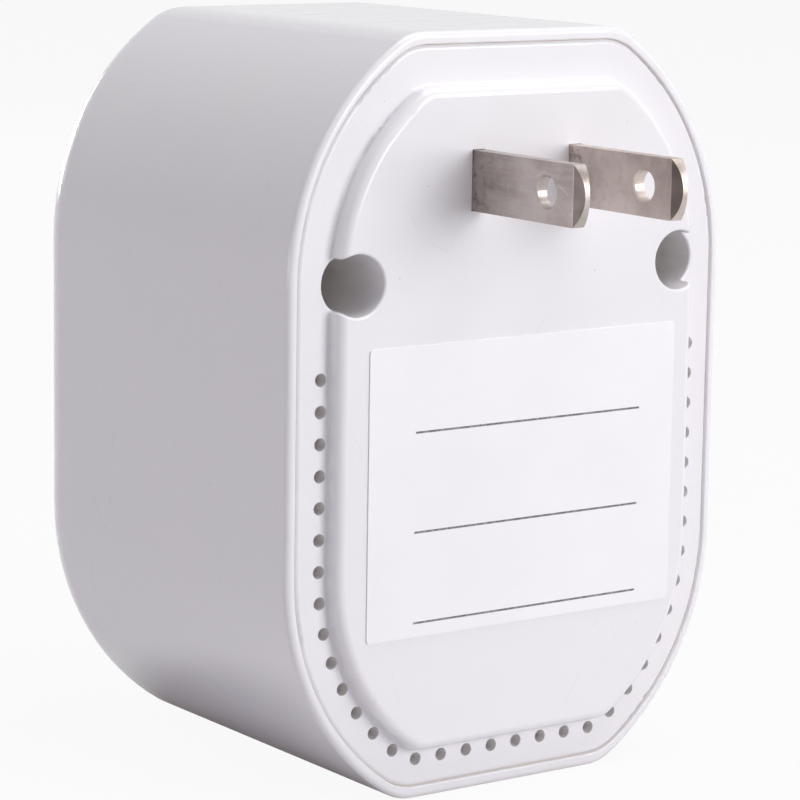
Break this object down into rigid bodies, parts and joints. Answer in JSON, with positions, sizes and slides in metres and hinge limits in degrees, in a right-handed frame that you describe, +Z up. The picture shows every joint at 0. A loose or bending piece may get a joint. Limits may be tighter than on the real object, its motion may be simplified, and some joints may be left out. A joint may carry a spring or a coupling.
{
  "type": "travel voltage converter",
  "caption": "Plug-in travel voltage converter: deep white shell with rounded shoulders, vented rear cover with flat plug blades, and a shuttered output socket in the far wall.",
  "frame": {"origin": "on the underside, in the middle of the width and of the shell's depth", "axes": "+Z up, -Y towards the plug blades, +Y towards the output socket, +X to the right when the plug side is looked at"},
  "size_m": [0.057, 0.0714, 0.0815],
  "materials": {
    "shell": "glossy moulded white plastic, slightly cool",
    "label": "smooth white sticker",
    "blade_metal": "nickel plate, satin and scratched",
    "screw_steel": "zinc plated",
    "inner_plastic": "moulded, natural",
    "core_steel": "varnished silicon steel laminations",
    "bobbin_plastic": "moulded black nylon",
    "copper": "enamelled copper wire",
    "tape": "yellow polyester tape",
    "tinned_brass": "tinned",
    "fuse_can": "plated can",
    "lead_brown": "vinyl insulation",
    "lead_blue": "vinyl insulation",
    "lead_black": "vinyl insulation",
    "lead_white": "vinyl insulation",
    "socket_plastic": "glossy moulded plastic",
    "contact_brass": "bare strip",
    "shutter_plastic": "moulded acetal",
    "spring_steel": "bare wire",
    "lens": "clear red",
    "lamp": "red epoxy",
    "board": "green laminate",
    "resistor": "chip"
  },
  "bodies": {
    "converter": {"main_housing": "shell", "back_cover": "shell", "rating_label": "label", "cover_screws": "screw_steel", "blade_left": "blade_metal", "blade_right": "blade_metal", "blade_clamp": "inner_plastic", "clamp_screws": "screw_steel", "core_e_stack": "core_steel", "core_i_stack": "core_steel", "core_screws": "screw_steel", "bobbin": "bobbin_plastic", "common_winding": "copper", "series_winding": "copper", "winding_tape": "tape", "winding_lugs": "tinned_brass", "thermal_fuse": "fuse_can", "lead_live_in": "lead_brown", "lead_fuse": "lead_brown", "lead_neutral_in": "lead_blue", "lead_tap_out": "lead_black", "lead_common_out": "lead_white", "socket_face": "socket_plastic", "contact_carrier": "inner_plastic", "contact_left": "contact_brass", "contact_right": "contact_brass", "carrier_screws": "screw_steel", "shutter_spring": "spring_steel", "indicator_lens": "lens", "indicator_led": "lamp", "led_board": "board", "led_resistor": "resistor", "led_leads": "lead_black"},
    "shutter": {"socket_shutter": "shutter_plastic"}
  },
  "joints": [
    {"name": "shutter_slide", "type": "slide", "parent": "converter", "child": "shutter", "axis": [1, 0, 0], "range_m": [0, 0.0028], "stiffness_N_per_m": 200, "springref_m": -0.002, "deforming": ["shutter_spring"]}
  ]
}
